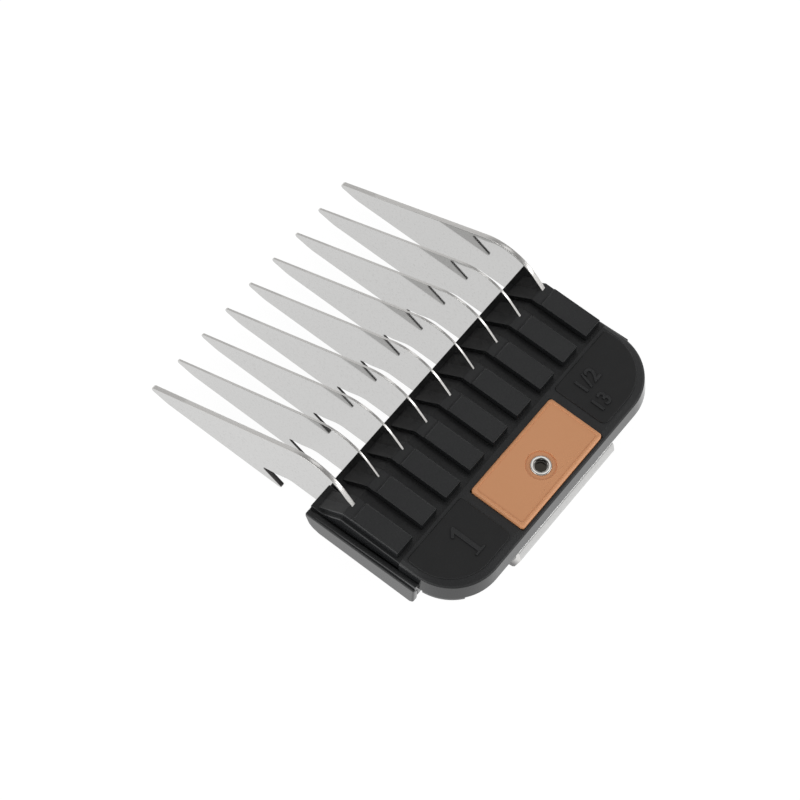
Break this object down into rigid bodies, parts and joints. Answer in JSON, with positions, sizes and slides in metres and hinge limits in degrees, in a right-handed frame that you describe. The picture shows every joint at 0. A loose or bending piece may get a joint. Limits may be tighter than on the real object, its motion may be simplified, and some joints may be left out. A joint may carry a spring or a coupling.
{
  "type": "clipper guard comb",
  "caption": "Clipper guard comb with steel teeth in a moulded black body, a coloured size tag and a spring latch for a detachable blade.",
  "frame": {"origin": "middle of the footprint, on the surface the teeth lie on", "axes": "+X along the row of teeth, -Y towards the tooth tips, +Y towards the latch, +Z towards the crowns of the teeth"},
  "size_m": [0.051, 0.0595, 0.0161],
  "materials": {
    "black_plastic": "satin moulded black",
    "tooth_steel": "stamped and tumbled, bright",
    "copper_plastic": "fine matte copper",
    "screw_steel": "bright",
    "nut_steel": "turned",
    "latch_steel": "bright sheet",
    "spring_steel": "drawn wire"
  },
  "bodies": {
    "comb": {"body": "black_plastic", "tooth_1": "tooth_steel", "tooth_2": "tooth_steel", "tooth_3": "tooth_steel", "tooth_4": "tooth_steel", "tooth_5": "tooth_steel", "tooth_6": "tooth_steel", "tooth_7": "tooth_steel", "tooth_8": "tooth_steel", "tooth_9": "tooth_steel", "size_tag": "copper_plastic", "tag_screw": "screw_steel", "sleeve_nut": "nut_steel", "latch_spring": "spring_steel"},
    "latch": {"latch_plate": "latch_steel"}
  },
  "joints": [
    {"name": "latch_slide", "type": "slide", "parent": "comb", "child": "latch", "axis": [0, 1, 0], "range_m": [0, 0.0026], "stiffness_N_per_m": 400, "springref_m": -0.003, "deforming": ["latch_spring"]}
  ]
}
